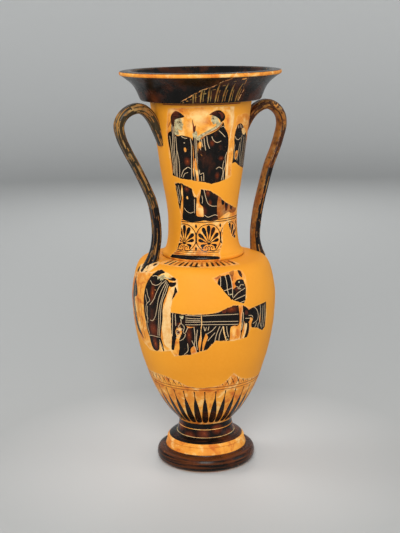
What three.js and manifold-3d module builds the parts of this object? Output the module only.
// A black-figure neck amphora of the tall, narrow funerary kind (loutrophoros), as it stands after
// restoration: ancient fired-clay fragments set into plaster fills that restore the thrown shape.
// Millimetres, +Z up. The origin is the centre of the foot's resting face, the handles lie along X,
// and the painted front faces -Y. Angles around the vase are in degrees from the front, -Y, towards +X.
import * as THREE from "three";
import { mergeVertices } from "three/addons/utils/BufferGeometryUtils.js";
import Module from "manifold-3d";

const wasm = await Module();
wasm.setup();

// Driving dimensions
const HEIGHT = 500;
const GAP = 0.3; // between neighbouring pieces
const SEGMENTS = 40; // facets around the axis
const WALL_BODY = 5.5;
const WALL_NECK = 5;
const FOOT_TOP = 38.3;
const NECK_BASE = 271;
const MOUTH_BASE = 463.7;
const FRONT = -90; // the front, as an angle from +X

const CLAY = { color: 0xd9822b, roughness: 0.55, metalness: 0 };
const GLAZE = { color: 0x1c1613, roughness: 0.3, metalness: 0 };
const PLASTER = { color: 0xf0a030, roughness: 0.75, metalness: 0 };

// Outer outlines, as [radius, height], from bottom to top
const footOutline = [
  [44, 0], [56.7, 0], [60.2, 2.2], [62.6, 5.4], [63.2, 9], [62.8, 13], [61.2, 16.4], [57, 18.6],
  [52.4, 18.9], [51.6, 22], [50.2, 26.4], [49.6, 28.6], [47.4, 32.4], [43.2, 35.8], [36.9, FOOT_TOP],
];
const bodyOutline = [
  [36.8, FOOT_TOP + GAP], [35.6, 44], [34.1, 52], [37.9, 60], [46.8, 70], [56.5, 85], [64.3, 100],
  [70.6, 115], [75.4, 130], [80.4, 145], [85, 165], [88.4, 185], [90.3, 207], [90.6, 222],
  [89.4, 234], [87.2, 246], [84, 257], [80.5, 263.6], [75.5, 267.2], [65, 269.7],
  [51, NECK_BASE - GAP],
];
const neckOutline = [
  [51, NECK_BASE], [51.6, 274], [50.8, 277], [47, 280], [44.3, 290], [43.2, 305], [43.1, 320],
  [45.1, 340], [48.5, 360], [51.4, 380], [53.9, 400], [56.7, 420], [59.5, 440],
  [62.6, MOUTH_BASE - GAP],
];
const mouthOutline = [
  [63, MOUTH_BASE], [74.1, MOUTH_BASE + 0.6], [76.3, 470], [78.4, 475], [81.4, 480.4],
  [85.8, 485.6], [91.4, 490.2], [99.45, 496.8], [98.6, 498.2], [87.5, HEIGHT],
];

// The hollow side of each wall, from bottom to top
const footHollow = [[0, 27], [16, 26], [30, 19], [38, 9], [44, 0]];
const lowerHollow = [[0, 64], [22, 65], [33, 69]];
const mouthHollow = [[57.6, MOUTH_BASE], [61, 470], [66, 478], [73.5, 486], [80, 492], [84.5, 498]];

// Break edges, as [angle, height], counter-clockwise seen from outside
const sherdOutlines = {
  neck_upper_sherd: [
    [-69, 376], [-58, 373], [-36, 370.5], [-20, 368], [-12, 366], [0, 368.5], [10, 370.5],
    [19, 374], [17.5, 389], [18, 410], [16, 432], [15, 458], [-20, 460], [-64, 457], [-71, 430],
    [-71.5, 400],
  ],
  neck_right_sherd: [
    [19, 389.5], [24, 390.5], [38, 384], [52, 380], [64, 384], [68, 402], [66, 430], [56, 444],
    [36, 449], [21, 446], [18, 432], [20, 410],
  ],
  neck_lower_sherd: [
    [-79, NECK_BASE - 4], [-2, NECK_BASE - 4], [1, 280], [8, 292], [10, 312], [20, 318], [30, 298],
    [40, 293], [54, 312], [57, 330], [40, 332], [15, 341], [0, 350.5], [-15, 358.5], [-27, 360],
    [-34, 350], [-40, 361], [-54, 366.5], [-67, 367.5], [-65, 340], [-62, 322], [-64, 300],
    [-70, 284],
  ],
  neck_back_sherd: [
    [132, 384], [150, 378], [168, 386], [190, 380], [214, 388], [222, 410], [214, 440], [196, 458],
    [150, 459], [134, 436], [127, 408],
  ],
  neck_back_lower_sherd: [
    [148, 283], [176, 281], [206, 284], [212, 306], [205, 330], [188, 342], [164, 336], [146, 326],
    [141, 304],
  ],
  mourner_sherd: [
    [-54, 166], [-51.6, 190], [-51.8, 216], [-50, 232], [-45.5, 242], [-47, 256], [-57, 262],
    [-65, 264.5], [-74, 260], [-88, 257], [-104, 252], [-116, 240], [-119, 214], [-110, 192],
    [-98, 180], [-90, 171], [-77, 160.5], [-63, 163],
  ],
  bier_sherd: [
    [-54, 166], [-51.5, 159.5], [-37, 163], [-22, 171], [-16.5, 181], [-3, 179.5], [4.5, 180],
    [5, 200], [6, 222.5], [-2, 224.5], [-10, 220], [-18, 216], [-35, 215], [-51.8, 216],
    [-51.6, 190],
  ],
  headrest_sherd: [
    [4.5, 180], [11, 180.5], [14, 192], [21, 190], [29, 184], [33, 188], [33.5, 204], [32, 220],
    [24, 219], [14, 217], [6, 222.5], [5, 200],
  ],
  raised_arm_sherd: [
    [7, 224.5], [10, 232], [11, 244], [11.5, 256], [9.5, 263.5], [1, 264.5], [-9, 262], [-17.5, 257.5],
    [-12, 248], [-4, 231.5],
  ],
  belly_back_sherd: [
    [128, 170], [150, 162], [176, 168], [200, 160], [222, 172], [228, 200], [220, 228], [204, 240],
    [184, 228], [160, 236], [140, 250], [124, 236], [120, 200],
  ],
  belly_side_sherd: [
    [62, 176], [78, 168], [94, 180], [98, 206], [88, 230], [72, 236], [60, 222], [56, 198],
  ],
};
const lowerBodyBreak = [
  [-180, 124], [-160, 117], [-140, 121], [-118, 133], [-98, 127], [-82, 128.5], [-67, 128],
  [-52, 124], [-43, 118], [-32, 116.3], [-19, 117.5], [-10, 119], [-3, 126], [2, 135], [9, 127],
  [18, 121.5], [40, 118], [62, 121], [84, 130], [108, 119], [130, 116.5], [152, 127], [180, 124],
];
const mouthSherdOutline = [
  [-48, 460], [8.5, 460], [11, 468], [13.8, 478], [11, 488], [9, 497], [10, 506], [5, 506],
  [-4, 493], [-14, 485], [-24, 480], [-33, 474], [-44, 466],
];

// The band of tongues on the shoulder, a plain sector of a ring
const TONGUES_FROM = -75;
const TONGUES_TO = 13;
const TONGUES_RADIUS = 71;

// Handles: centre line as [distance from axis, height] from the neck down to the shoulder
const HANDLE_WIDTH = 17;
const HANDLE_SIDES = 12;
const HANDLE_STEPS = 26;
const handles = {
  left: {
    side: -1,
    breakHeight: 336,
    line: [
      [52, 412], [58.5, 428], [65, 442], [72, 451.5], [81, 456.6], [92, 455.5], [102.3, 449],
      [108.2, 438], [105.8, 423], [98.2, 406], [89.5, 390], [81.5, 374], [74, 358], [68, 343], [64.8, 328],
      [63, 312], [63, 297], [65.5, 282], [70, 268], [74, 258],
    ],
  },
  right: {
    side: 1,
    breakHeight: 374,
    line: [
      [53, 414], [60.5, 430], [69, 443], [80, 451.5], [92, 454.2], [103.2, 449.5], [110.8, 440],
      [112.7, 428], [108.4, 411], [102.4, 395], [95.6, 380], [90.4, 365], [86, 350], [81.6, 334.5],
      [78, 319.5], [75.4, 304], [74, 289], [75.2, 274], [78, 260],
    ],
  },
};

const degrees = THREE.MathUtils.degToRad;

// The outer radius of body, neck and mouth at a height
function radiusAt(height) {
  const outline = [...bodyOutline, ...neckOutline, ...mouthOutline.slice(1, 8)];
  for (let i = 1; i < outline.length; i++) {
    const [r0, z0] = outline[i - 1];
    const [r1, z1] = outline[i];
    if (height <= z1) return r0 + ((r1 - r0) * Math.max(height - z0, 0)) / (z1 - z0);
  }
  return outline.at(-1)[0];
}

function toSolid(geometry) {
  const bare = geometry.clone();
  bare.deleteAttribute("normal");
  bare.deleteAttribute("uv");
  const welded = mergeVertices(bare, 1e-4);
  return new wasm.Manifold(
    new wasm.Mesh({
      numProp: 3,
      vertProperties: new Float32Array(welded.attributes.position.array),
      triVerts: new Uint32Array(welded.index.array),
    }),
  );
}

function toGeometry(solid) {
  const mesh = solid.getMesh();
  const geometry = new THREE.BufferGeometry();
  geometry.setAttribute("position", new THREE.BufferAttribute(mesh.vertProperties, mesh.numProp));
  geometry.setIndex(new THREE.BufferAttribute(mesh.triVerts, 1));
  geometry.computeVertexNormals();
  return geometry;
}

// A closed outline turned about the Z axis
function turned(outline) {
  const points = outline.map(([r, z]) => new THREE.Vector2(r, z));
  const geometry = new THREE.LatheGeometry([...points, points[0].clone()], SEGMENTS);
  return geometry.rotateX(Math.PI / 2);
}

// A line moved sideways by a distance, to its right as it runs
function shifted(line, distance, closed = false) {
  const count = line.length;
  const normals = line.map(([x, y], i) => {
    const [nx, ny] = line[(i + 1) % count];
    const length = Math.hypot(nx - x, ny - y);
    return [(ny - y) / length, (x - nx) / length];
  });
  return line.map(([x, y], i) => {
    const after = closed || i < count - 1 ? normals[i] : normals[i - 1];
    const before = closed || i > 0 ? normals[(i - 1 + count) % count] : normals[i];
    const scale = distance / Math.max(1 + after[0] * before[0] + after[1] * before[1], 0.35);
    return [x + (after[0] + before[0]) * scale, y + (after[1] + before[1]) * scale];
  });
}

// A break outline carried straight through the wall, from near the axis to well outside
function radialPrism(outline, growth) {
  const NEAR = 8;
  const FAR = 260;
  const DEPTH = 22;
  const meanHeight = outline.reduce((sum, [, z]) => sum + z, 0) / outline.length;
  const scale = degrees(1) * radiusAt(meanHeight);
  const flat = outline.map(([angle, z]) => [angle * scale, z]);
  const edge = shifted(flat, growth, true).map(([s, z]) => new THREE.Vector2(s / scale, z));
  const positions = [];
  for (const { x, y } of edge) {
    const turn = degrees(x + FRONT);
    const radius = radiusAt(y);
    for (const r of [NEAR, radius - DEPTH, radius + 2, FAR]) {
      positions.push(r * Math.cos(turn), r * Math.sin(turn), y);
    }
  }
  const index = [];
  for (let i = 0; i < edge.length; i++) {
    const here = i * 4;
    const next = ((i + 1) % edge.length) * 4;
    for (let layer = 0; layer < 3; layer++) {
      const [a, b, c, d] = [here + layer, next + layer, next + layer + 1, here + layer + 1];
      // Both sides of a break share the diagonal that starts from the lower end
      if (edge[i].y < edge[(i + 1) % edge.length].y) index.push(a, b, c, a, c, d);
      else index.push(a, b, d, b, c, d);
    }
  }
  for (const [a, b, c] of THREE.ShapeUtils.triangulateShape(edge, [])) {
    index.push(a * 4 + 3, b * 4 + 3, c * 4 + 3);
    index.push(c * 4, b * 4, a * 4);
  }
  const geometry = new THREE.BufferGeometry();
  geometry.setAttribute("position", new THREE.Float32BufferAttribute(positions, 3));
  geometry.setIndex(index);
  return toSolid(geometry);
}

// Everything on one side of a break that runs right round the vase, from the given height on
function breakBlock(line, end, offset) {
  const RADIUS = 140;
  const ring = line.slice(0, -1).map(([angle, z]) => {
    const turn = degrees(angle + FRONT);
    return [Math.cos(turn), Math.sin(turn), z + offset];
  });
  const positions = [0, 0, end, 0, 0, ring[0][2]];
  for (const [x, y, z] of ring) {
    const radius = radiusAt(z);
    positions.push(x * RADIUS, y * RADIUS, end);
    for (const r of [RADIUS, radius + 1, radius - 12]) positions.push(x * r, y * r, z);
  }
  const index = [];
  for (let i = 0; i < ring.length; i++) {
    const here = 2 + i * 4;
    const next = 2 + ((i + 1) % ring.length) * 4;
    index.push(0, next, here, 1, here + 3, next + 3);
    for (let layer = 0; layer < 3; layer++) {
      const [a, b, c, d] = [here + layer, next + layer, next + layer + 1, here + layer + 1];
      index.push(a, b, c, a, c, d);
    }
  }
  const geometry = new THREE.BufferGeometry();
  geometry.setAttribute("position", new THREE.Float32BufferAttribute(positions, 3));
  geometry.setIndex(end < ring[0][2] ? index : index.reverse());
  return toSolid(geometry);
}

// A sector of a ring, carried through the wall from below to above
function shoulderSector(growth) {
  const BELOW = 255;
  const TALL = 22;
  const from = degrees(TONGUES_FROM + FRONT);
  const to = degrees(TONGUES_TO + FRONT);
  const slack = growth / TONGUES_RADIUS;
  const shape = new THREE.Shape();
  shape.absarc(0, 0, TONGUES_RADIUS + growth, from - slack, to + slack, false);
  shape.absarc(0, 0, 30, to + slack, from - slack, true);
  const geometry = new THREE.ExtrudeGeometry(shape, {
    depth: TALL,
    bevelEnabled: false,
    curveSegments: 16,
  });
  return toSolid(geometry.translate(0, 0, BELOW));
}

// A strap of rounded section along a handle's centre line, between two places on it
function strap({ side, line }, from, to) {
  const points = line.map(([r, z]) => new THREE.Vector3(side * r, 0, z));
  const curve = new THREE.CatmullRomCurve3(points, false, "centripetal");
  const steps = Math.round(HANDLE_STEPS * (to - from));
  const geometry = new THREE.CylinderGeometry(1, 1, 1, HANDLE_SIDES, steps);
  const position = geometry.attributes.position;
  const corner = new THREE.Vector3();
  for (let i = 0; i < position.count; i++) {
    corner.fromBufferAttribute(position, i);
    const place = from + (corner.y + 0.5) * (to - from);
    const along = curve.getTangentAt(place);
    const across = new THREE.Vector3(-along.z, 0, along.x);
    const arch = Math.exp(-(((place - 0.2) / 0.13) ** 2));
    const root = Math.max(0, (place - 0.9) / 0.1);
    const thickness = 10.4 + 3 * arch + 9 * root * root;
    const width = HANDLE_WIDTH + 6 * root * root;
    const squareness = 1 / Math.max(Math.hypot(corner.x, corner.z) ** 0.5, 1e-6);
    const rounded = [corner.x, corner.z].map((v) => Math.sign(v) * Math.abs(v) ** 0.72);
    const reach = Math.hypot(...rounded) > 0 ? squareness : 0;
    const spot = curve.getPointAt(place);
    spot.addScaledVector(across, (rounded[0] * thickness * Math.min(reach, 1)) / 2);
    spot.y += (rounded[1] * width * Math.min(reach, 1)) / 2;
    position.setXYZ(i, spot.x, spot.y, spot.z);
  }
  return toSolid(geometry);
}

// The place on a handle's centre line, from 0 to 1, where it passes a height on its way down
function placeAtHeight({ line }, height) {
  const points = line.map(([r, z]) => new THREE.Vector3(r, 0, z));
  const curve = new THREE.CatmullRomCurve3(points, false, "centripetal");
  let place = 1;
  while (curve.getPointAt(place).z < height) place -= 0.001;
  return place;
}

const vase = new THREE.Group();
function add(name, solid, look) {
  const mesh = new THREE.Mesh(toGeometry(solid), new THREE.MeshStandardMaterial(look));
  mesh.name = name;
  vase.add(mesh);
}

// The walls before they are divided
const everySecond = (line) => line.filter((_, i) => i % 2 === 0);
const bodyHollow = everySecond(shifted(bodyOutline.slice(4), -WALL_BODY)).reverse();
const bodyWall = toSolid(turned([
  [0, FOOT_TOP + GAP], ...bodyOutline, ...bodyHollow, ...[...lowerHollow].reverse(),
]));
const neckHollow = everySecond(shifted(neckOutline.slice(3), -WALL_NECK))
  .map(([r, z]) => [r, Math.min(z, MOUTH_BASE - GAP)])
  .reverse();
const neckWall = toSolid(turned([...neckOutline, ...neckHollow, [44.5, NECK_BASE]]));
const mouthWall = toSolid(turned([...mouthOutline, ...[...mouthHollow].reverse()]));

function addSherds(wall, names) {
  let rest = wall;
  for (const name of names) {
    add(name, wall.intersect(radialPrism(sherdOutlines[name], -GAP / 2)), CLAY);
    rest = rest.subtract(radialPrism(sherdOutlines[name], GAP / 2));
  }
  return rest;
}

// Foot and lower body
add("foot", toSolid(turned([...footOutline, [0, FOOT_TOP], ...footHollow.slice(0, -1)])), GLAZE);
const belowBreak = breakBlock(lowerBodyBreak, 0, -GAP / 2);
const aboveBreak = breakBlock(lowerBodyBreak, HEIGHT, GAP / 2);
add("lower_body", bodyWall.intersect(belowBreak), CLAY);

// Belly and shoulder
const upperWall = bodyWall.intersect(aboveBreak);
add("shoulder_tongue_sherd", upperWall.intersect(shoulderSector(-GAP / 2)), CLAY);
const bellyFill = addSherds(upperWall.subtract(shoulderSector(GAP / 2)), [
  "mourner_sherd", "bier_sherd", "headrest_sherd", "raised_arm_sherd", "belly_back_sherd",
  "belly_side_sherd",
]);
add("belly_fill", bellyFill, PLASTER);

// Neck
const neckFill = addSherds(neckWall, [
  "neck_upper_sherd", "neck_right_sherd", "neck_lower_sherd", "neck_back_sherd",
  "neck_back_lower_sherd",
]);
add("neck_fill", neckFill, PLASTER);

// Mouth
add("mouth_sherd", mouthWall.intersect(radialPrism(mouthSherdOutline, -GAP / 2)), GLAZE);
add("mouth", mouthWall.subtract(radialPrism(mouthSherdOutline, GAP / 2)), GLAZE);

// Handles, each of two fragments, seated on the neck and the shoulder
const keepOutOutline = shifted([...bodyOutline, ...neckOutline, ...mouthOutline], GAP);
const keepOut = toSolid(turned([[0, FOOT_TOP], ...keepOutOutline, [0, HEIGHT]]));
for (const [name, handle] of Object.entries(handles)) {
  const join = placeAtHeight(handle, handle.breakHeight);
  const slack = 0.0004;
  add(`handle_${name}_upper`, strap(handle, 0, join - slack).subtract(keepOut), GLAZE);
  add(`handle_${name}_lower`, strap(handle, join + slack, 1).subtract(keepOut), GLAZE);
}

export default vase;
